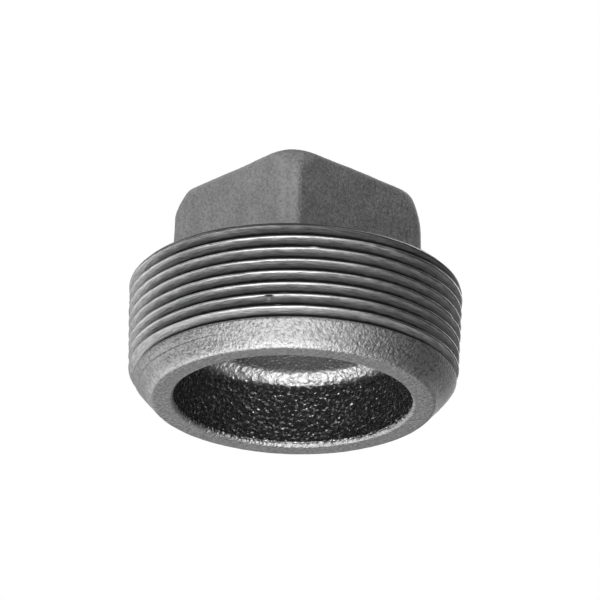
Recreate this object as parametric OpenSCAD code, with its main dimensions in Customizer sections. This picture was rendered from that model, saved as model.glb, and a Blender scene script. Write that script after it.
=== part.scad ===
// Square-head pipe plug with a taper pipe thread, one hollow iron casting.
// Lengths in millimetres. Z is the pipe axis: the open mouth lies in the plane
// z = 0 and the square wrench head is at the top (+Z). The wrench flats face
// +X, -X, +Y and -Y.

/* [Taper thread] */
// Threads per inch
threads_per_inch = 11.5; // [11:0.5:12]
// Crest diameter of the thread where its cone meets the mouth plane
mouth_crest_d = 59.4; // [59:0.1:59.8]
// Taper on diameter, one part in this many
taper_ratio = 16; // [16:1:24]
// Depth of the thread, crest flat to root flat
thread_depth = 1.6; // [1.3:0.05:1.65]
// Included angle of the thread
thread_angle = 60; // [60:1:62]
// Height of the centre of the lowest full groove above the mouth plane, at the corner facing -X -Y
groove_z = 5.14; // [4.8:0.01:5.8]
// Number of groove turns, counted from the end that runs in on the lead bevel
groove_turns = 8.15; // [6:0.05:8.2]
// Turns over which the groove deepens from nothing at its lower end
runin_turns = 0.25; // [0.2:0.05:0.4]
// Turns over which the groove washes out below the shoulder
washout_turns = 0.4; // [0.3:0.05:0.8]
// Straight pieces in one turn of the groove
groove_steps = 56; // [32:4:72]

/* [Body] */
// Height of the threaded body, mouth plane to shoulder
body_h = 22.35; // [21.5:0.05:24]
// Chamfer on the outer edge of the shoulder
shoulder_chamfer = 0.8; // [0.3:0.1:1.2]
// Outer radius of the flat rim round the mouth, where its outer edge starts to round off
rim_r = 24.6; // [24:0.1:25]
// Radius where the lower and upper lead bevels meet
bevel_r = 28.4; // [28:0.05:28.8]
// Height where the lower and upper lead bevels meet
bevel_z = 3.2; // [2.8:0.1:3.5]
// Height where the upper lead bevel reaches the thread crests
lead_z = 5.3; // [4.8:0.1:6]

/* [Core cavity] */
// Radius of the cavity at the mouth, inside the rounded edge
mouth_r = 21.65; // [20:0.05:22.2]
// Radius of the cavity wall at its deep end
wall_r = 21.25; // [19.5:0.05:21.6]
// Rounding of the mouth's inner edge
mouth_round = 1.0; // [0.5:0.1:1.4]
// Depth of the wide part of the cavity
floor_z = 14.1; // [10:0.1:16]
// Rounding between the cavity wall and its floor
floor_round = 4.1; // [1.5:0.1:5]
// Half width of the pocket cored up into the head
pocket_half_w = 9.8; // [9:0.1:12]
// Corner radius of the pocket
pocket_round = 6.0; // [4:0.1:6.5]
// Height of the pocket's roof
pocket_top = 34.5; // [28:0.1:35]
// Flare at the pocket's mouth
pocket_flare = 0.7; // [0.5:0.1:1.8]

/* [Wrench head] */
// Head width across flats, at its top
head_flats = 33.4; // [32:0.1:35]
// Head height above the shoulder
head_h = 18.8; // [17.3:0.1:20]
// Draft of each flat, in degrees
head_draft = 1.2; // [0:0.1:2.5]
// Rounding of the head's upright corners
head_corner = 2.9; // [2:0.1:4]
// Rounding of the head's top edges
head_top_round = 1.5; // [0.8:0.1:2]
// Radius of the cone chamfer where it meets the top plane
head_cone_r = 20; // [19:0.1:22]
// Outward run of the cone chamfer for each millimetre of height
head_cone_run = 0.65; // [0.4:0.05:1]

/* [Hidden] */
iron = [0.23, 0.23, 0.235];
total_h = body_h + head_h;

// Thread
pitch = 25.4 / threads_per_inch;
crest_slope = 1 / (2 * taper_ratio);  // radius gained per millimetre of height
flank_tan = tan(thread_angle / 2);
thread_flat = (pitch - 2 * thread_depth * flank_tan) / 2;  // crest and root flats are equal
datum_angle = -135;    // direction of the corner that groove_z is measured at
datum_turns = 0.7;     // turns from the groove's lower end to that corner
cutter_clear = 0.5;    // how far the groove cutter stands outside the crests
end_lift = 0.6 * cutter_clear;  // how far its root flat is outside the crests at each end
cutter_skin = 0.02;    // least height of flank and of its edge above the crests

// Rounded outer edge of the rim: [radius beyond rim_r, height]
rim_edge = [[0, 0], [0.65, 0.04], [1.1, 0.22], [1.6, 0.7]];

// Pocket and head
pocket_overlap = 1;      // pocket's reach below the cavity floor
flare_overlap = 0.5;     // flare's reach below the cavity floor
flare_end_h = 0.1;       // thickness of the flare's upper end
flare_end_inset = 0.05;  // how far that end lies inside the pocket's corners
roof_inset = 0.9;        // corner radius lost by the pocket at its roof
head_overlap = 0.5;      // head's reach down into the body
slice_h = 0.001;         // thickness of each slice the head is hulled from

// Facets
turned_fn = 128;
cone_fn = 96;
corner_fn = 32;

function crest_r(z) = mouth_crest_d / 2 + crest_slope * z;

// Points of an arc from one angle to another
function arc(centre, radius, from, to, steps) = [
    for (i = [0:steps])
        let (angle = from + (to - from) * i / steps)
        centre + radius * [cos(angle), sin(angle)]
];

// Children at the four corners of a square, at height z
module at_corners(half_side, z) {
    for (x = [-half_side, half_side])
        for (y = [-half_side, half_side])
            translate([x, y, z]) children();
}

// The body before threading: rim, lead bevels, crest cone, chamfered shoulder
module body_blank() {
    chamfer_z = body_h - shoulder_chamfer;
    rotate_extrude($fn = turned_fn)
        polygon([
            [0, 0],
            for (p = rim_edge) [rim_r + p[0], p[1]],
            [bevel_r, bevel_z],
            [crest_r(lead_z), lead_z],
            [crest_r(chamfer_z), chamfer_z],
            [crest_r(chamfer_z) - shoulder_chamfer, body_h],
            [0, body_h]
        ]);
}

// Cutter for the helical thread groove: a six-point section carried up a
// right-hand helix on the cone. It sinks into the lead bevel at its lower end
// and rises out of the metal over the washout below the shoulder.
module groove_cutter() {
    last = round(groove_turns * groove_steps);
    runin_steps = runin_turns * groove_steps;
    washout_steps = washout_turns * groove_steps;
    start_z = groove_z - datum_turns * pitch;

    // 0 with the section out of the metal, 1 at full depth
    function sink(i) = min(1, i / runin_steps, (last - i) / washout_steps);

    function section(i) =
        let (
            turn = i / groove_steps,
            angle = datum_angle + 360 * (turn - datum_turns),
            z = start_z + pitch * turn,
            depth = thread_depth - (thread_depth + end_lift) * (1 - sink(i)),
            half_in = thread_flat / 2,
            half_out = half_in + max(depth, cutter_skin) * flank_tan,
            r_in = crest_r(z) - depth,
            r_mid = crest_r(z) + max(cutter_skin, cutter_skin - depth),
            r_out = crest_r(z) + cutter_clear,
            // [radius, height from the groove's centre]
            outline = [
                [r_in, -half_in], [r_mid, -half_out], [r_out, -half_out],
                [r_out, half_out], [r_mid, half_out], [r_in, half_in]
            ]
        )
        [for (p = outline) [p[0] * cos(angle), p[0] * sin(angle), z + p[1]]];

    sides = [
        for (i = [0:last - 1]) for (k = [0:5])
            let (p = 6 * i + k, q = 6 * i + (k + 1) % 6)
            each [[p, q, p + 6], [q, q + 6, p + 6]]
    ];
    polyhedron(
        points = [for (i = [0:last]) each section(i)],
        faces = concat([[5, 4, 3, 2, 1, 0]], sides, [[for (k = [0:5]) 6 * last + k]]),
        convexity = 12
    );
}

// Wrench head: drafted rounded square with rounded top edges and a cone
// chamfer that takes the corners down more than the flats
module wrench_head() {
    base_z = body_h - head_overlap;
    cone_h = total_h - base_z;

    // Thin slice of the head, its sides moved in by inset
    module slice(z, inset) {
        at_corners(head_flats / 2 + tan(head_draft) * (total_h - z) - head_corner, z)
            cylinder(r = head_corner - inset, h = slice_h, $fn = corner_fn);
    }

    intersection() {
        hull() {
            slice(base_z, 0);
            // The last slice is lowered so that it ends at total_h
            for (t = [0:18:90])
                slice(total_h - head_top_round * (1 - sin(t)) - (t == 90 ? slice_h : 0),
                      head_top_round * (1 - cos(t)));
        }
        hull() translate([0, 0, base_z])
            cylinder(h = cone_h, r1 = head_cone_r + head_cone_run * cone_h,
                     r2 = head_cone_r, $fn = cone_fn);
    }
}

// Wide round part of the cavity, open at the mouth
module cavity() {
    edge_r = mouth_r + mouth_round;
    below_mouth = -1;
    rotate_extrude($fn = turned_fn)
        polygon(concat(
            [[0, below_mouth], [edge_r, below_mouth]],
            arc([edge_r, mouth_round], mouth_round, 270, 180, 5),
            arc([wall_r - floor_round, floor_z - floor_round], floor_round, 0, 90, 8),
            [[0, floor_z]]
        ));
}

// Pocket cored up into the head so that the iron has an even thickness
module pocket() {
    half_side = pocket_half_w - pocket_round;
    roof_round = pocket_round - roof_inset;
    hull() {
        at_corners(half_side, floor_z - pocket_overlap)
            cylinder(r = pocket_round, h = pocket_overlap, $fn = corner_fn);
        at_corners(half_side, pocket_top - roof_round)
            sphere(r = roof_round, $fn = corner_fn);
    }
    // Flare
    hull() {
        at_corners(half_side, floor_z - flare_overlap)
            cylinder(r = pocket_round + pocket_flare, h = flare_overlap, $fn = corner_fn);
        at_corners(half_side, floor_z + pocket_flare)
            cylinder(r = pocket_round - flare_end_inset, h = flare_end_h, $fn = corner_fn);
    }
}

module square_head_plug() {
    color(iron) difference() {
        union() {
            difference() {
                body_blank();
                groove_cutter();
            }
            wrench_head();
        }
        cavity();
        pocket();
    }
}

square_head_plug();
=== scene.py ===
import math

import bpy
import numpy as np
from mathutils import Matrix, Vector


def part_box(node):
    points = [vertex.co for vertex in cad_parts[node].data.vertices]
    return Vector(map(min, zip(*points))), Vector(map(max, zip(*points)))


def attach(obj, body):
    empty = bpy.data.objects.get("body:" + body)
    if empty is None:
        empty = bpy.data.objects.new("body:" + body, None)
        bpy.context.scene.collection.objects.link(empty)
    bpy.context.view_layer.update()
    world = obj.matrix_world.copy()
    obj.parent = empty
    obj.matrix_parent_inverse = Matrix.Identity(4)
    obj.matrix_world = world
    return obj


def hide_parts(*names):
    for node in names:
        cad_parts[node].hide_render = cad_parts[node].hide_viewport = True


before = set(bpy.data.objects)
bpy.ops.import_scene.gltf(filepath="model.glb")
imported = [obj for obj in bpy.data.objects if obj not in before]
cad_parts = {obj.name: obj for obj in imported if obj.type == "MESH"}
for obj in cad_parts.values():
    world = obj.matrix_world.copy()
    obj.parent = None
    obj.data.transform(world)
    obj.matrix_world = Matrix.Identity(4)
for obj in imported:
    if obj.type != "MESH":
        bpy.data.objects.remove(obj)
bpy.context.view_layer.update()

# ----------------------------------------------------------------------------
# Sizes, in millimetres
# ----------------------------------------------------------------------------
MM = 0.001
node_lo, node_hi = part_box("square_head_plug")
TOTAL_H = (node_hi.z - node_lo.z) * 1000.0
COLUMNS = 640                            # points in a full ring

# taper thread, a helical groove cut into a cone
PITCH = 25.4 / 11.5
CREST_R0 = 29.7                          # crest radius at the rim's height
TAPER = 1.0 / 32.0                       # growth of the radius per mm of height
THREAD_DEPTH = 1.6
FLANK_TAN = math.tan(math.radians(30.0))
ROOT_FLAT = (PITCH - 2 * THREAD_DEPTH * FLANK_TAN) / 2
GROOVE_Z0 = 5.14                         # a point on the groove's centre: height and angle
GROOVE_A0 = math.radians(-135.0)
# the groove's ends, in turns from that point, and the turns over which it fades
GROOVE_START, START_FADE = -0.70, 0.25
GROOVE_END, END_FADE = 7.45, 0.40

# round body
BODY_H = 22.35
SHOULDER = 0.8                           # chamfer at the body's top
SHOULDER_Z = BODY_H - SHOULDER
BAND_Z = 1.25                            # the rows that follow the helix begin here

# square head
HEAD_FLATS = 33.4                        # across the flats at the top
DRAFT = math.tan(math.radians(1.2))
HEAD_CORNER = 2.9
HEAD_FOOT = 1.1                          # fillet between head and shoulder
HEAD_EDGE = 1.5                          # rounding of the top edge

# square pocket inside the head
POCKET_HALF, POCKET_CORNER, POCKET_TOP = 9.8, 6.0, 34.5
ROOF_ROUND, ROOF_CORNER_LOSS, ROOF_SAG = 4.6, 2.2, 0.35
POCKET_LIP = 0.7

# round cavity inside the thread
FLOOR_Z, FLOOR_ROUND = 14.1, 4.1
WALL_R, MOUTH_R, MOUTH_ROUND = 21.25, 21.65, 1.0

# lead bevel of the body before the thread is cut: radius, z
BEVEL = np.array([
    (24.6, 0.0), (25.2, 0.03), (25.6, 0.13), (25.88, 0.34), (26.2, 0.7), (26.62, 1.2),
    (27.14, 1.8), (27.77, 2.5), (28.42, 3.25), (29.1, 4.1), (29.86, 5.3), (30.4, 6.6),
    (31.5, 9.0)])
# rounded outer edge of the rim, up on to the bevel: radius, z
RIM_EDGE = (
    (24.85, 0.01), (25.1, 0.025), (25.35, 0.06), (25.56, 0.12),
    (25.74, 0.22), (25.9, 0.35), (26.05, 0.52), (26.2, 0.7))

# points per ring on the pocket's roof: below this share of its radius, count
ROOF_COUNTS = ((0.2, 40), (0.45, 80), (0.8, 160), (2.0, 320))
POCKET_COLUMNS = 320
# points per ring on the head's top: above this share of its radius, count
TOP_COUNTS = ((0.75, COLUMNS), (0.4, COLUMNS // 2), (0.2, COLUMNS // 4), (0.0, COLUMNS // 8))

# rows of points across one turn of the thread, in turns from the groove's centre
HALF_ROWS = [0.0, 0.028, 0.052, 0.085, 0.18, 0.31, 0.395, 0.432, 0.458, 0.480]
ROWS = np.array(sorted([-x for x in HALF_ROWS[1:]] + HALF_ROWS + [0.5]))

# knocks on the thread: degrees, turns above the groove's reference point,
# half length in mm, half width in turns, height in mm
KNOCKS = (
    (-126.0, 5.62, 0.9, 0.10, 0.22), (-140.8, 1.34, 0.6, 0.16, -0.34),
    (-137.7, 0.72, 0.5, 0.10, 0.10), (-135.8, 1.72, 0.6, 0.09, 0.12),
    (-87.2, 5.42, 1.5, 0.08, 0.06), (-152.0, 3.52, 1.3, 0.08, -0.12),
    (-118.0, 2.50, 1.6, 0.08, -0.10), (-101.0, 6.52, 1.2, 0.10, -0.16),
    (-160.0, 6.50, 1.6, 0.08, -0.12), (-60.0, 3.50, 1.0, 0.09, -0.2),
    (30.0, 4.50, 1.2, 0.10, -0.2), (95.0, 2.52, 1.5, 0.09, -0.18),
    (140.0, 5.50, 1.1, 0.09, -0.2))
KNOCK_R = 29.5                           # radius that turns an angle into a length

# ----------------------------------------------------------------------------
# Noise from a fixed seed
# ----------------------------------------------------------------------------
rng = np.random.default_rng(20417)
shuffled = np.tile(rng.permutation(256), 2)
gradients = rng.normal(size=(256, 3))
gradients /= np.linalg.norm(gradients, axis=1)[:, None]


def lattice_hash(x, y, z):
    return shuffled[shuffled[shuffled[x & 255] + (y & 255)] + (z & 255)]


def perlin(p, seed):
    p = np.asarray(p, float) + 17.31 * seed + 100.0
    cell = np.floor(p).astype(np.int64)
    f = p - cell
    ease = f * f * f * (f * (f * 6 - 15) + 10)
    total = 0.0
    for dx in (0, 1):
        wx = ease[:, 0] if dx else 1 - ease[:, 0]
        for dy in (0, 1):
            wy = ease[:, 1] if dy else 1 - ease[:, 1]
            for dz in (0, 1):
                wz = ease[:, 2] if dz else 1 - ease[:, 2]
                g = gradients[lattice_hash(cell[:, 0] + dx, cell[:, 1] + dy, cell[:, 2] + dz)]
                slope = (g[:, 0] * (f[:, 0] - dx) + g[:, 1] * (f[:, 1] - dy)
                         + g[:, 2] * (f[:, 2] - dz))
                total = total + wx * wy * wz * slope
    return total * 1.6


def grains(p, size, seed):
    """Rounded grains: domes from 1 down to just below 0, one per jittered grid point."""
    q = p / size + 31.7 * seed + 200.0
    cell = np.floor(q).astype(np.int64)
    nearest = np.full(len(q), 9.0)       # squared distance
    for dx in (-1, 0, 1):
        for dy in (-1, 0, 1):
            for dz in (-1, 0, 1):
                near = cell + (dx, dy, dz)
                jitter = 0.5 + 0.42 * gradients[lattice_hash(*near.T)]
                nearest = np.minimum(nearest, ((near + jitter - q) ** 2).sum(1))
    return np.clip(1.0 - 1.25 * nearest, -0.3, 1.0)


# ----------------------------------------------------------------------------
# Shape functions
# ----------------------------------------------------------------------------
def smooth_min(a, b, blend):
    h = np.clip(0.5 + 0.5 * (b - a) / blend, 0, 1)
    return b + (a - b) * h - blend * h * (1 - h)


def smooth_max(a, b, blend):
    return -smooth_min(-a, -b, blend)


def smoothstep(a, b, x):
    t = np.clip((x - a) / (b - a), 0, 1)
    return t * t * (3 - 2 * t)


def wrap(angle):
    """The same angle between minus and plus half a turn."""
    return (angle + math.pi) % (2 * math.pi) - math.pi


def angles(count):
    return 2 * math.pi * np.arange(count) / count


def steps(start, end, count):
    """Evenly spaced values from start to end, without the start."""
    return np.linspace(start, end, count)[1:]


def quarter(count):
    """Steps of a quarter round: share of the turn, sine, cosine."""
    for t in steps(0, 90, count):
        yield t / 90.0, math.sin(math.radians(t)), math.cos(math.radians(t))


def square_r(theta, half, corner_r):
    """Distance from the axis to a rounded square, in direction theta."""
    folded = np.abs((theta + math.pi / 4) % (math.pi / 2) - math.pi / 4)
    flat = half / np.cos(folded)
    to_centre = math.sqrt(2) * (half - corner_r)
    delta = folded - math.pi / 4
    reach = np.maximum(corner_r * corner_r - (to_centre * np.sin(delta)) ** 2, 0)
    corner = to_centre * np.cos(delta) + np.sqrt(reach)
    return np.where(half * np.tan(folded) <= half - corner_r, flat, corner)


def crest_r(z):
    return CREST_R0 + TAPER * z


def bevel_r(z):
    return np.interp(z, BEVEL[:, 1], BEVEL[:, 0])


def groove_phase(theta, z):
    """Turns above the groove's reference point; whole numbers are groove centres."""
    return (z - GROOVE_Z0) / PITCH - (theta - GROOVE_A0) / (2 * math.pi)


def groove_depth(theta, z):
    phase = groove_phase(theta, z)
    groove = np.round(phase)
    from_centre = np.abs(phase - groove) * PITCH
    turn = groove + (theta - GROOVE_A0) / (2 * math.pi)
    fade = (np.clip((GROOVE_END - turn) / END_FADE, 0, 1)
            * np.clip((turn - GROOVE_START) / START_FADE, 0, 1))
    full = THREAD_DEPTH * fade - 0.25 * (1 - fade)
    flank = full - (from_centre - ROOT_FLAT / 2) / FLANK_TAN
    return smooth_max(smooth_min(flank, full, 0.13), 0.0, 0.14)


def thread_surface(theta, z):
    """Radius of the threaded band, and how much of it is cut metal."""
    core = crest_r(z) + 0.06 - groove_depth(theta, z)
    # a faint groove round part of the bevel, climbing with the angle
    a = wrap(theta - math.radians(-200.0))
    line = smoothstep(0.85, 0.35, np.abs(a)) * np.exp(-((z - 2.74 - 0.18 * a) / 0.11) ** 2)
    blank = bevel_r(z) - 0.11 * line
    chamfer = crest_r(SHOULDER_Z) - np.maximum(z - SHOULDER_Z, 0)
    r = smooth_min(core, blank, 0.22)
    r = smooth_min(r, np.where(z > BODY_H - 1.5, chamfer, 1e3), 0.12)
    return r, np.clip((blank - core) / 0.25, 0, 1)


def head_half(z):
    return HEAD_FLATS / 2 + DRAFT * (TOTAL_H - z)


def head_r(theta, z, inset):
    """Outline of the head, its corners cut by a cone that differs a little at two of them."""
    r = square_r(theta, head_half(z) - inset, HEAD_CORNER - 0.75 * inset)
    right = np.exp(-(wrap(theta - math.radians(-45)) / 0.5) ** 2)
    near = np.exp(-(wrap(theta - math.radians(-135)) / 0.5) ** 2)
    blend = 0.7 + 2.3 * right + 1.3 * near
    cone = 20.0 + 0.65 * (TOTAL_H - z) + 0.25 * (blend - 0.7) + 0.15 * right
    return smooth_min(r, cone, blend)


# ----------------------------------------------------------------------------
# The skin
# ----------------------------------------------------------------------------
class Skin:
    """Points with zone weights (cast, cavity, cut, fine), faces, and the last ring laid."""

    def __init__(self):
        self.points, self.zones, self.faces = [], [], []
        self.count = 0
        self.last = None

    def add(self, points, cast=1.0, cavity=0.0, cut=0.0, fine=0.0):
        points = np.asarray(points, float)
        size = len(points)
        weights = [np.broadcast_to(w, size) for w in (cast, cavity, cut, fine)]
        self.points.append(points)
        self.zones.append(np.stack(weights, -1).astype(float))
        self.count += size
        return np.arange(self.count - size, self.count)

    def ring(self, r, z, count=COLUMNS, **zones):
        t = angles(count)
        z = np.full(count, float(z))
        return self.add(np.stack([r * np.cos(t), r * np.sin(t), z], -1), **zones)

    def grow(self, r, z, count=COLUMNS, **zones):
        """Lays a ring and joins it to the last one."""
        self.join_to(self.ring(r, z, count, **zones))

    def triangles(self, a, b, c):
        self.faces.append(np.stack([a, b, c, -np.ones_like(a)], -1))

    def join_to(self, new):
        """Joins the last ring to one of equal, double or half count; one point makes a fan."""
        old, self.last = self.last, new
        old_next, new_next = np.roll(old, -1), np.roll(new, -1)
        if len(old) == 1:
            self.triangles(np.full(len(new), old[0]), new, new_next)
        elif len(new) == 1:
            self.triangles(np.full(len(old), new[0]), old_next, old)
        elif len(old) == len(new):
            self.faces.append(np.stack([old, new, new_next, old_next], -1))
        elif len(new) == 2 * len(old):
            start, middle, end = new[0::2], new[1::2], new_next[1::2]
            self.triangles(old, start, middle)
            self.triangles(old, middle, old_next)
            self.triangles(old_next, middle, end)
        else:
            start, middle, end = old[0::2], old[1::2], old_next[1::2]
            self.triangles(new, middle, start)
            self.triangles(new, new_next, middle)
            self.triangles(new_next, end, middle)

    def stitch(self, a, a_rows, b, b_rows):
        """Joins two columns of points: a quad where both hold a row, else a triangle."""
        i = j = 0
        strip = []
        while i < len(a) - 1:
            if a_rows[i + 1] == b_rows[j + 1]:
                strip.append((a[i], a[i + 1], b[j + 1], b[j]))
                i += 1
                j += 1
            elif a_rows[i + 1] < b_rows[j + 1]:
                strip.append((a[i], a[i + 1], b[j], -1))
                i += 1
            else:
                strip.append((a[i], b[j + 1], b[j], -1))
                j += 1
        self.faces.append(np.array(strip))

    def arrays(self):
        """Points, zone weights and faces, each face turned to look out of the metal."""
        faces = np.concatenate(self.faces)
        is_quad = (faces[:, 3] >= 0)[:, None]
        faces = np.where(is_quad, faces[:, [0, 3, 2, 1]], faces[:, [0, 2, 1, 3]])
        return np.concatenate(self.points), np.concatenate(self.zones), faces


def lay_pocket(skin):
    def outline(count, inset, corner_loss):
        return square_r(angles(count), POCKET_HALF - inset, POCKET_CORNER - corner_loss)

    skin.last = skin.add([[0, 0, POCKET_TOP]], cavity=1.0)
    for u in steps(0, 1, 30):
        count = next(count for below, count in ROOF_COUNTS if u < below)
        r = outline(count, ROOF_ROUND, ROOF_CORNER_LOSS) * u
        skin.grow(r, POCKET_TOP - ROOF_SAG * u * u, count, cavity=1.0)
    for _, s, c in quarter(16):
        r = outline(POCKET_COLUMNS, ROOF_ROUND * (1 - s), ROOF_CORNER_LOSS * (1 - s))
        z = POCKET_TOP - ROOF_SAG - (ROOF_ROUND - ROOF_SAG) * (1 - c)
        skin.grow(r, z, POCKET_COLUMNS, cavity=1.0)
    lip_z = FLOOR_Z + POCKET_LIP
    for z in steps(POCKET_TOP - ROOF_ROUND, lip_z, 26):
        skin.grow(outline(POCKET_COLUMNS, 0, 0), z, POCKET_COLUMNS, cavity=1.0)
    for _, s, c in quarter(7):
        out = POCKET_LIP * (1 - c)
        skin.grow(outline(COLUMNS, -out, -out), lip_z - POCKET_LIP * s, cavity=0.95)


def lay_cavity(skin):
    r_in = square_r(angles(COLUMNS), POCKET_HALF + POCKET_LIP, POCKET_CORNER + POCKET_LIP)
    r_out = WALL_R - FLOOR_ROUND
    for u in steps(0, 1, 13):
        skin.grow(r_in + (r_out - r_in) * u, FLOOR_Z, cavity=0.9)
    for _, s, c in quarter(25):
        skin.grow(r_out + FLOOR_ROUND * s, FLOOR_Z - FLOOR_ROUND * (1 - c), cavity=0.85)
    wall_top = FLOOR_Z - FLOOR_ROUND
    for u in steps(0, 1, 36):
        z = wall_top + (MOUTH_ROUND - wall_top) * u
        skin.grow(WALL_R + (MOUTH_R - WALL_R) * u, z, cavity=0.8 - 0.1 * u)
    for share, s, c in quarter(11):
        r = MOUTH_R + MOUTH_ROUND * (1 - c)
        skin.grow(r, MOUTH_ROUND * (1 - s), cavity=0.6 * (1 - share))


def lay_rim(skin):
    """Flat rim and the lower bevel."""
    r_in, r_out = MOUTH_R + MOUTH_ROUND, BEVEL[0, 0]
    for u in steps(0, 1, 8):
        skin.grow(r_in + (r_out - r_in) * u, 0.0)
    for r, z in RIM_EDGE:
        skin.grow(r, z)
    for z in np.linspace(0.9, BAND_Z, 3):
        skin.grow(bevel_r(z), z)


def thread_column(theta):
    """Heights of the helical rows at one angle, and the rows' numbers."""
    start = (theta - GROOVE_A0) / (2 * math.pi)
    first = math.floor((BAND_Z - GROOVE_Z0) / PITCH - start) - 1
    last = math.ceil((BODY_H - GROOVE_Z0) / PITCH - start) + 1
    turn = np.arange(first, last + 1)[:, None]
    z = (GROOVE_Z0 + PITCH * (turn + ROWS + start)).ravel()
    row = (turn * len(ROWS) + np.arange(len(ROWS))).ravel()
    keep = (z > BAND_Z + 0.07) & (z < BODY_H - 0.05)
    return z[keep], row[keep]


def lay_thread(skin):
    bottom = skin.last
    columns = []
    for theta in angles(COLUMNS):
        z, row = thread_column(theta)
        r, cut = thread_surface(theta, z)
        points = np.stack([r * math.cos(theta), r * math.sin(theta), z], -1)
        columns.append((skin.add(points, cast=1 - cut, cut=cut), row))
    top = skin.ring(crest_r(SHOULDER_Z) - SHOULDER, BODY_H, cast=0.6, cut=0.4)

    def whole(j, shift):
        """A column with its end points, which count as the lowest and highest rows."""
        ids, row = columns[j]
        return (np.concatenate([[bottom[j]], ids, [top[j]]]),
                np.concatenate([[-1e9], row - shift, [1e9]]))

    for j in range(COLUMNS):
        k = (j + 1) % COLUMNS
        # across the seam the row numbers jump by one whole turn of the helix
        skin.stitch(*whole(j, 0), *whole(k, len(ROWS) if k == 0 else 0))
    skin.last = top


def lay_head(skin):
    theta = angles(COLUMNS)
    shoulder_r = crest_r(SHOULDER_Z) - SHOULDER
    foot_r = square_r(theta, head_half(BODY_H) + HEAD_FOOT, HEAD_CORNER + HEAD_FOOT)
    for u in steps(0, 1, 14):
        skin.grow(shoulder_r + (foot_r - shoulder_r) * u, BODY_H, fine=0.3)
    for share, s, c in quarter(8):
        out = HEAD_FOOT * (1 - s)
        z = BODY_H + HEAD_FOOT * (1 - c)
        r = square_r(theta, head_half(z) + out, HEAD_CORNER + out)
        skin.grow(r, z, fine=0.5 + 0.5 * share)
    for z in steps(BODY_H + HEAD_FOOT, TOTAL_H - HEAD_EDGE, 36):
        skin.grow(head_r(theta, z, 0.0), z, fine=1.0)
    for _, s, c in quarter(13):
        z = TOTAL_H - HEAD_EDGE + HEAD_EDGE * s
        skin.grow(head_r(theta, z, HEAD_EDGE * (1 - c)), z, fine=1.0)
    top_r = head_r(theta, TOTAL_H, HEAD_EDGE)
    for u in 1 - steps(0, 1, 26)[:-1]:
        count = next(count for above, count in TOP_COUNTS if u > above)
        skin.grow((top_r * u)[::COLUMNS // count], TOTAL_H, count, fine=1.0)
    skin.join_to(skin.add([[0, 0, TOTAL_H]], fine=1.0))


def vertex_normals(points, faces):
    normals = np.zeros_like(points)
    is_quad = faces[:, 3] >= 0
    quads, tris = faces[is_quad], faces[~is_quad]
    for group, ends, corners in ((quads, (2, 0, 3, 1), 4), (tris, (1, 0, 2, 0), 3)):
        a, b, c, d = (points[group[:, k]] for k in ends)
        face_normals = np.cross(a - b, c - d)
        for k in range(corners):
            np.add.at(normals, group[:, k], face_normals)
    return normals / np.maximum(np.linalg.norm(normals, axis=1), 1e-12)[:, None]


# ----------------------------------------------------------------------------
# Surface texture carried in the points themselves
# ----------------------------------------------------------------------------
def texture(points, zones):
    """Height to add along the normals, and the weights of pebbles and raised knocks."""
    cast, cavity, cut, fine = zones.T
    x, y, z = points.T
    theta = np.arctan2(y, x)
    pebble = (grains(points, 0.95, 1) - 0.4 + 0.45 * (grains(points, 0.6, 2) - 0.4)
              + 0.5 * perlin(points / 1.7, 8))
    grit = perlin(points / 0.55, 3) + 0.6 * perlin(points / 0.3, 4)
    wave = perlin(points / 9.0, 5) + 0.5 * perlin(points / 4.0, 6)
    # the cavity is coarsest; its upper rounding and floor are smoother than its wall
    deep = np.clip(cavity * 1.2, 0, 1)
    fillet = smoothstep(9.5, 11.5, z) * (z < FLOOR_Z + 0.05) * deep
    height = cast * (1 - fine) * (0.022 + 0.085 * deep * (1 - 0.75 * fillet)) * pebble
    height += (0.010 * cast + 0.018 * fine) * grit
    height += (0.05 * cast + 0.05 * fine + 0.012 * cut) * wave

    # cut thread: slightly ragged, crests worn down in places
    phase = groove_phase(theta, z)
    crest = cut * smoothstep(0.36, 0.46, np.abs(phase - np.round(phase)))
    height += cut * 0.010 * perlin(np.c_[x / 1.2, y / 1.2, z / 0.5], 7)
    wear = perlin(np.c_[x / 2.6, y / 2.6, z / 1.4], 9) + 0.05
    height -= crest * 0.10 * np.clip(wear, 0, 1)

    raised = np.zeros(len(points))
    for degrees, turns, half_length, half_width, up in KNOCKS:
        along = wrap(theta - math.radians(degrees)) * KNOCK_R / half_length
        spot = cut * np.exp(-along ** 2 - ((phase - turns) / half_width) ** 2)
        height += up * spot
        raised = np.maximum(raised, spot * (up > 0))
    # the flat rim only sinks
    return np.where(z < 0.06, height - 0.05, height), pebble, raised


def surface_weights(points, zones, normals, pebble, raised):
    """Point attributes read by the material, by name."""
    cast, cavity, cut, fine = zones.T
    z, down = points[:, 2], -normals[:, 2]
    rough = cast * (1 - fine)
    upright = np.hypot(normals[:, 0], normals[:, 1])
    # painted highlight: the lead bevel and the down-facing rounding at the cavity's floor are
    # painted brightest, where they catch the light from below
    bevel = ((0.25 + 0.75 * smoothstep(0.1, 1.7, z)) * (1 - smoothstep(0.0, 0.5, cavity))
             * (z < 9.0))
    rounding = ((cavity > 0.7) * (z < FLOOR_Z + 0.05) * smoothstep(0.08, 0.45, down)
                * (1 - 0.65 * smoothstep(0.90, 0.995, down)))
    return {
        "cut": cut,
        "bruise": raised,
        "wall": smoothstep(0.3, 0.6, cavity) * smoothstep(0.72, 0.97, upright),
        "cavity": np.clip(cavity, 0, 1),
        "painted_highlight": np.clip(bevel + rounding, 0, 1),
        "fine": fine,
        "relief": np.clip(0.5 + 0.5 * pebble, 0, 1) * rough + 0.5 * (1 - rough),
    }


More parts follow.
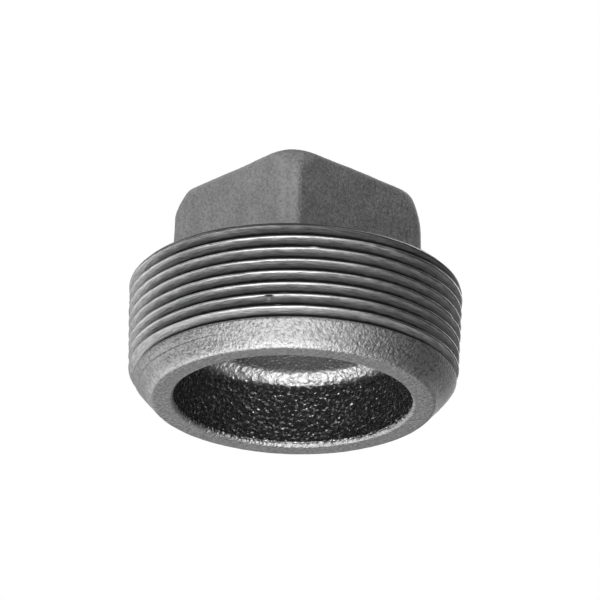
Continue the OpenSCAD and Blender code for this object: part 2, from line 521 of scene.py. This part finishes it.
def make_mesh(name, points, faces):
    """Mesh from points in mm and faces of four indices, the fourth -1 in a triangle."""
    mesh = bpy.data.meshes.new(name)
    sizes = np.where(faces[:, 3] >= 0, 4, 3)
    loops = faces[faces >= 0]
    starts = np.concatenate([[0], np.cumsum(sizes)[:-1]])
    mesh.vertices.add(len(points))
    mesh.vertices.foreach_set("co", (points * MM).astype(np.float32).ravel())
    mesh.loops.add(len(loops))
    mesh.loops.foreach_set("vertex_index", loops.astype(np.int32))
    mesh.polygons.add(len(faces))
    mesh.polygons.foreach_set("loop_start", starts.astype(np.int32))
    mesh.polygons.foreach_set("use_smooth", np.ones(len(faces), bool))
    mesh.update(calc_edges=True)
    mesh.validate(verbose=False)
    return mesh


def make_plug():
    skin = Skin()
    for lay in (lay_pocket, lay_cavity, lay_rim, lay_thread, lay_head):
        lay(skin)
    points, zones, faces = skin.arrays()
    normals = vertex_normals(points, faces)
    height, pebble, raised = texture(points, zones)
    textured = points + normals * height[:, None]
    textured[:, 2] = np.clip(textured[:, 2], 0.0, TOTAL_H)
    mesh = make_mesh("square_head_plug_cast", textured, faces)
    weights = surface_weights(points, zones, normals, pebble, raised)
    for name, values in weights.items():
        attribute = mesh.attributes.new(name, "FLOAT", "POINT")
        attribute.data.foreach_set("value", np.asarray(values, np.float32))
    plug = bpy.data.objects.new("square_head_plug_cast", mesh)
    bpy.context.scene.collection.objects.link(plug)
    return plug


# ----------------------------------------------------------------------------
# Materials
# ----------------------------------------------------------------------------
class Nodes:
    """Short calls that add nodes to the emptied tree of a material or world."""

    def __init__(self, owner):
        owner.use_nodes = True
        self.tree = owner.node_tree
        self.tree.nodes.clear()

    def new(self, kind, **settings):
        node = self.tree.nodes.new(kind)
        for name, value in settings.items():
            setattr(node, name, value)
        return node

    def feed(self, socket, value):
        if isinstance(value, bpy.types.NodeSocket):
            self.tree.links.new(value, socket)
        else:
            socket.default_value = value

    def math(self, operation, *values, clamp=False):
        node = self.new("ShaderNodeMath", operation=operation, use_clamp=clamp)
        for socket, value in zip(node.inputs, values):
            self.feed(socket, value)
        return node.outputs[0]

    def add(self, a, b):
        return self.math("ADD", a, b)

    def sub(self, a, b):
        return self.math("SUBTRACT", a, b)

    def mul(self, a, b, clamp=False):
        return self.math("MULTIPLY", a, b, clamp=clamp)

    def attr(self, name):
        return self.new("ShaderNodeAttribute", attribute_name=name).outputs["Fac"]

    def noise(self, vector, scale, detail, rough):
        node = self.new("ShaderNodeTexNoise")
        self.feed(node.inputs["Vector"], vector)
        node.inputs["Scale"].default_value = scale
        node.inputs["Detail"].default_value = detail
        node.inputs["Roughness"].default_value = rough
        return node.outputs["Fac"]

    def domes(self, vector, scale):
        """Rounded grains: 1 at a grain's middle, falling between grains."""
        node = self.new("ShaderNodeTexVoronoi", feature="SMOOTH_F1")
        self.feed(node.inputs["Vector"], vector)
        node.inputs["Scale"].default_value = scale
        node.inputs["Smoothness"].default_value = 0.25
        distance = node.outputs["Distance"]
        return self.sub(1.0, self.mul(distance, distance))

    def ramp(self, value, start, end, low=0.0, high=1.0):
        """Runs from low to high as the value goes from start to end."""
        node = self.new("ShaderNodeMapRange")
        self.feed(node.inputs["Value"], value)
        node.inputs["From Min"].default_value = start
        node.inputs["From Max"].default_value = end
        node.inputs["To Min"].default_value = low
        node.inputs["To Max"].default_value = high
        return node.outputs["Result"]

    def band(self, value, rise, fall):
        """1 between two ramps, each given as its start and end."""
        return self.mul(self.ramp(value, *rise), self.ramp(value, *fall, low=1.0, high=0.0))

    def mix(self, share, under, over):
        """Blend of two colours."""
        node = self.new("ShaderNodeMix", data_type="RGBA")
        self.feed(node.inputs["Factor"], share)
        self.feed(node.inputs[6], under)
        self.feed(node.inputs[7], over)
        return node.outputs[2]

    def mixf(self, share, under, over):
        """Blend of two numbers."""
        node = self.new("ShaderNodeMix", data_type="FLOAT")
        self.feed(node.inputs["Factor"], share)
        self.feed(node.inputs[2], under)
        self.feed(node.inputs[3], over)
        return node.outputs[0]


def grey(value):
    return (value, value, value, 1.0)


class IronNodes(Nodes):
    """Black iron: cast skin, and bare metal where the thread is cut."""

    def __init__(self, material):
        super().__init__(material)
        self.pos = self.new("ShaderNodeTexCoord").outputs["Object"]
        self.cut, self.cavity, self.fine = map(self.attr, ("cut", "cavity", "fine"))
        self.speck = self.noise(self.pos, scale=1500.0, detail=3.0, rough=0.7)
        xyz = self.new("ShaderNodeSeparateXYZ")
        self.feed(xyz.inputs[0], self.pos)
        self.x, self.y, self.z = xyz.outputs
        # coordinates stretched round the axis, for streaks along the thread
        squares = self.add(self.mul(self.x, self.x), self.mul(self.y, self.y))
        around = self.new("ShaderNodeCombineXYZ")
        self.feed(around.inputs[0], self.mul(self.angle(), 0.012))
        self.feed(around.inputs[1], self.mul(self.math("POWER", squares, 0.5), 3.0))
        self.feed(around.inputs[2], self.mul(self.z, 3.0))
        self.around = around.outputs[0]
        self.streak = self.noise(self.around, scale=1100.0, detail=3.0, rough=0.6)
        # place across the groove, in turns: 0 at its middle, plus or minus a half at crests
        turn = self.sub(
            self.mul(self.sub(self.z, GROOVE_Z0 / 1000.0), 1000.0 / PITCH),
            self.math("DIVIDE", self.sub(self.angle(), GROOVE_A0), 2 * math.pi))
        waver = self.noise(self.pos, scale=420.0, detail=2.0, rough=0.6)
        turn = self.add(turn, self.mul(self.sub(waver, 0.5), 0.07))
        # 20 whole turns keep the value positive
        self.across = self.sub(self.math("FRACT", self.add(turn, 20.5), 0.0), 0.5)
        from_middle = self.math("ABSOLUTE", self.across, 0.0)
        self.on_crest = self.ramp(from_middle, start=0.385, end=0.43)
        # painted shade: the groove's lower side and its middle
        self.painted_groove_shade = self.band(self.across, rise=(-0.455, -0.42), fall=(0.045, 0.085))

    def angle(self):
        return self.math("ARCTAN2", self.y, self.x)

    def cast_colour(self):
        blotch = self.noise(self.pos, scale=170.0, detail=4.0, rough=0.6)
        colour = self.mix(self.ramp(blotch, start=0.3, end=0.7), grey(0.44), grey(0.56))
        pits = self.mix(0.5, colour, grey(0.08))
        colour = self.mix(self.ramp(self.speck, start=0.32, end=0.6), pits, colour)
        # painted highlight: pale speckled colour where the lead bevel and the cavity floor's
        # rounding catch the light
        pale = self.ramp(self.speck, start=0.36, end=0.56, low=0.25, high=0.95)
        colour = self.mix(self.mul(self.attr("painted_highlight"), pale), colour, grey(0.95))
        # the head is darker
        colour = self.mix(self.mul(self.fine, 0.35, clamp=True), colour, grey(0.05))
        # painted shade and painted glints in the cavity: dark with pale specks, sparser and
        # stronger on its upright wall
        glint_noise = self.noise(self.pos, scale=1250.0, detail=2.0, rough=0.55)
        glints = self.mix(self.ramp(glint_noise, start=0.47, end=0.64), grey(0.10), grey(0.60))
        plain = self.sub(0.40, self.mul(self.attr("painted_highlight"), 0.40))
        colour = self.mix(self.mul(self.cavity, plain, clamp=True), colour, glints)
        # painted shade and painted glints on the cavity's upright wall: dark with pale specks
        wall_noise = self.noise(self.pos, scale=1650.0, detail=2.0, rough=0.5)
        glints = self.mix(self.ramp(wall_noise, start=0.56, end=0.66), grey(0.17), grey(0.95))
        return self.mix(self.mul(self.attr("wall"), 0.90), colour, glints)

    def cut_colour(self):
        patch_noise = self.noise(self.around, scale=260.0, detail=3.0, rough=0.6)
        patch = self.ramp(patch_noise, start=0.35, end=0.65)
        streaks = self.ramp(self.streak, start=0.35, end=0.65)
        colour = self.mix(streaks, grey(0.40), grey(0.85))
        colour = self.mix(self.mul(patch, 0.30), colour, grey(0.22))
        # painted highlight: a bright line just above the groove's middle, where the root's
        # rounding catches the light
        line = self.band(self.across, rise=(0.10, 0.13), fall=(0.16, 0.21))
        strength = self.ramp(patch, start=0.0, end=1.0, low=0.95, high=0.35)
        colour = self.mix(self.mul(line, strength), colour, grey(0.95))
        # painted shade: the groove's lower side and middle in near black
        colour = self.mix(self.mul(self.painted_groove_shade, 0.97), colour, grey(0.008))
        # pale crests and raised knocks: worn bare metal, with a painted highlight on the crests
        # too
        pale = self.math("MAXIMUM", self.on_crest, self.attr("bruise"))
        strength = self.ramp(patch, start=0.0, end=1.0, low=0.9, high=0.55)
        colour = self.mix(self.mul(pale, strength), colour, grey(0.80))
        # painted shade near the shoulder, where the thread meets the head
        shoulder = self.ramp(self.z, start=0.0211, end=0.0216, low=0.0, high=0.85)
        return self.mix(shoulder, colour, grey(0.03))

    def painted_shade_and_tone(self):
        """Mix of black and the colour, zone by zone: painted shade in the cavity, and each
        zone's own tone.
        """
        painted_highlight = self.attr("painted_highlight")
        # painted shade darkens the cavity, less where the painted highlight lies
        cavity_painted_shade = self.ramp(painted_highlight, start=0.35, end=0.80, low=0.25, high=0.44)
        inside = self.mixf(self.attr("wall"), under=cavity_painted_shade, over=0.50)
        rim_and_bevel = self.mixf(painted_highlight, under=0.66, over=0.27)
        outside = self.mixf(self.fine, under=rim_and_bevel, over=0.80)
        is_inside = self.ramp(self.cavity, start=0.60, end=0.70)
        return self.mixf(self.cut, under=self.mixf(is_inside, outside, inside), over=0.43)

    def metallic(self):
        groove = self.mixf(self.painted_groove_shade, under=0.55, over=0.2)
        thread = self.mixf(self.on_crest, under=groove, over=0.97)
        return self.mixf(self.cut, under=0.93, over=thread)

    def roughness(self):
        cast = self.ramp(self.speck, start=0.2, end=0.8, low=0.34, high=0.48)
        head = self.ramp(self.speck, start=0.2, end=0.8, low=0.50, high=0.68)
        cast = self.mixf(self.fine, under=cast, over=head)
        cast = self.mixf(self.attr("wall"), under=cast, over=0.19)
        thread = self.ramp(self.streak, start=0.3, end=0.7, low=0.34, high=0.48)
        thread = self.mixf(self.on_crest, under=thread, over=0.24)
        thread = self.mixf(self.painted_groove_shade, under=thread, over=0.6)
        return self.mixf(self.cut, under=cast, over=thread)

    def grit(self, noise_scale, dome_scale, dome_height):
        noise = self.noise(self.pos, scale=noise_scale, detail=2.0, rough=0.5)
        domes = self.domes(self.pos, dome_scale)
        return self.add(self.mul(noise, 0.55), self.mul(domes, dome_height))

    def normal(self):
        coarse = self.grit(noise_scale=1350.0, dome_scale=1150.0, dome_height=0.30)
        small = self.grit(noise_scale=2300.0, dome_scale=1900.0, dome_height=0.22)
        grit = self.mixf(self.cavity, self.mixf(0.3, small, coarse), coarse)
        micro = self.noise(self.pos, scale=4200.0, detail=2.0, rough=0.6)
        inside = self.mixf(self.attr("painted_highlight"), under=4.4, over=1.6)
        grit_height = self.mixf(self.cavity, under=0.90, over=inside)
        cast = self.add(self.mul(grit, grit_height), self.mul(micro, 0.10))
        head = self.add(self.mul(grit, 0.70), self.mul(micro, 0.16))
        cast = self.mixf(self.fine, under=cast, over=head)
        bump = self.new("ShaderNodeBump")
        bump.inputs["Strength"].default_value = 1.0
        bump.inputs["Distance"].default_value = 0.00030
        height = self.mixf(self.cut, under=cast, over=self.mul(self.streak, 0.20))
        self.feed(bump.inputs["Height"], height)
        return bump.outputs[0]


def make_iron():
    iron = bpy.data.materials.new("black_iron")
    m = IronNodes(iron)
    shader = m.new("ShaderNodeBsdfPrincipled")
    m.feed(m.new("ShaderNodeOutputMaterial").inputs[0], shader.outputs[0])
    colour = m.mix(m.cut, m.cast_colour(), m.cut_colour())
    # black is under, so the share is that of the clean colour
    m.feed(shader.inputs["Base Color"], m.mix(m.painted_shade_and_tone(), grey(0.0), colour))
    m.feed(shader.inputs["Metallic"], m.metallic())
    m.feed(shader.inputs["Roughness"], m.roughness())
    m.feed(shader.inputs["Normal"], m.normal())
    shader.inputs["Specular IOR Level"].default_value = 0.3
    return iron


def make_pale_floor():
    """Pale from above, clear from below."""
    pale = bpy.data.materials.new("pale_floor")
    m = Nodes(pale)
    shader = m.new("ShaderNodeBsdfPrincipled")
    shader.inputs["Base Color"].default_value = grey(0.86)
    shader.inputs["Roughness"].default_value = 0.9
    either = m.new("ShaderNodeMixShader")
    m.feed(either.inputs[0], m.new("ShaderNodeNewGeometry").outputs["Backfacing"])
    m.feed(either.inputs[1], shader.outputs[0])
    m.feed(either.inputs[2], m.new("ShaderNodeBsdfTransparent").outputs[0])
    m.feed(m.new("ShaderNodeOutputMaterial").inputs[0], either.outputs[0])
    return pale


# ----------------------------------------------------------------------------
# Floor, camera, light
# ----------------------------------------------------------------------------
# the camera looks up at the origin from below
CAMERA_AZ, CAMERA_EL = math.radians(-41.69), math.radians(-22.05)
CAMERA_ROLL = math.radians(1.6)
CAMERA_DISTANCE = 0.866                  # metres
CAMERA_LENS, SENSOR_WIDTH = 287.65056, 36.0
CAMERA_SHIFT = (0.01225, 0.17175)

# soft panels on a dome: degrees to the camera's right, elevation, strength
PANELS = (
    (155, 32, 2.20), (17, 29, 3.47), (-63, -78, 4.20), (-68, 35, 3.22), (-10, -57, 4.20),
    (-128, -32, 2.54), (-153, 41, 1.36), (42, -45, 0.90), (135, 9, 0.51), (-140, 4, 0.44),
    (90, 78, 0.41), (180, -41, 0.37), (-120, 26, 0.29), (70, 38, 0.10))
PANEL_SHARPNESS = 11.0
AMBIENT = 0.0


def direction(azimuth, elevation):
    """Unit vector; azimuth 0 is -y and grows towards +x."""
    return (math.sin(azimuth) * math.cos(elevation),
            -math.cos(azimuth) * math.cos(elevation),
            math.sin(elevation))


def make_floor():
    bpy.ops.mesh.primitive_plane_add(size=6.0, location=(0, 0, -0.0003))
    floor = bpy.context.object
    floor.name = "floor"
    for ray in ("diffuse", "glossy", "transmission", "shadow"):
        setattr(floor, "visible_" + ray, False)
    floor.data.materials.append(make_pale_floor())
    return floor


def make_camera():
    data = bpy.data.cameras.new("camera")
    camera = bpy.data.objects.new("camera", data)
    bpy.context.scene.collection.objects.link(camera)
    back = Vector(direction(CAMERA_AZ, CAMERA_EL))
    right = (-back).cross(Vector((0, 0, 1))).normalized()
    up = right.cross(-back).normalized()
    cos_roll, sin_roll = math.cos(CAMERA_ROLL), math.sin(CAMERA_ROLL)
    axes = (right * cos_roll + up * sin_roll, up * cos_roll - right * sin_roll, back)
    turn = Matrix(axes).transposed().to_4x4()
    camera.matrix_world = Matrix.Translation(back * CAMERA_DISTANCE) @ turn
    data.sensor_width = SENSOR_WIDTH
    data.lens = CAMERA_LENS
    data.shift_x, data.shift_y = CAMERA_SHIFT
    data.clip_start = 0.01
    bpy.context.scene.camera = camera


def make_world():
    """Panels light the plug; the camera itself sees plain white."""
    world = bpy.data.worlds.new("studio")
    bpy.context.scene.world = world
    w = Nodes(world)
    toward = w.new("ShaderNodeTexCoord").outputs["Generated"]
    total = None
    for azimuth, elevation, strength in PANELS:
        dot = w.new("ShaderNodeVectorMath", operation="DOT_PRODUCT")
        w.feed(dot.inputs[0], toward)
        dot.inputs[1].default_value = direction(
            CAMERA_AZ + math.radians(azimuth), math.radians(elevation))
        falloff = w.math("MULTIPLY_ADD", dot.outputs["Value"], PANEL_SHARPNESS, -PANEL_SHARPNESS)
        panel = w.mul(w.math("EXPONENT", falloff), strength)
        total = panel if total is None else w.add(total, panel)
    either = w.new("ShaderNodeMixShader")
    w.feed(either.inputs[0], w.new("ShaderNodeLightPath").outputs["Is Camera Ray"])
    for socket, strength in zip(either.inputs[1:], (w.add(total, AMBIENT), 1.0)):
        background = w.new("ShaderNodeBackground")
        background.inputs[0].default_value = grey(1.0)
        w.feed(background.inputs[1], strength)
        w.feed(socket, background.outputs[0])
    w.feed(w.new("ShaderNodeOutputWorld").inputs[0], either.outputs[0])


plug = make_plug()
plug.data.materials.append(make_iron())
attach(plug, "root")
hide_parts("square_head_plug")
make_floor()
make_camera()
make_world()
bpy.context.scene.view_settings.view_transform = "Standard"
bpy.context.scene.view_settings.look = "None"
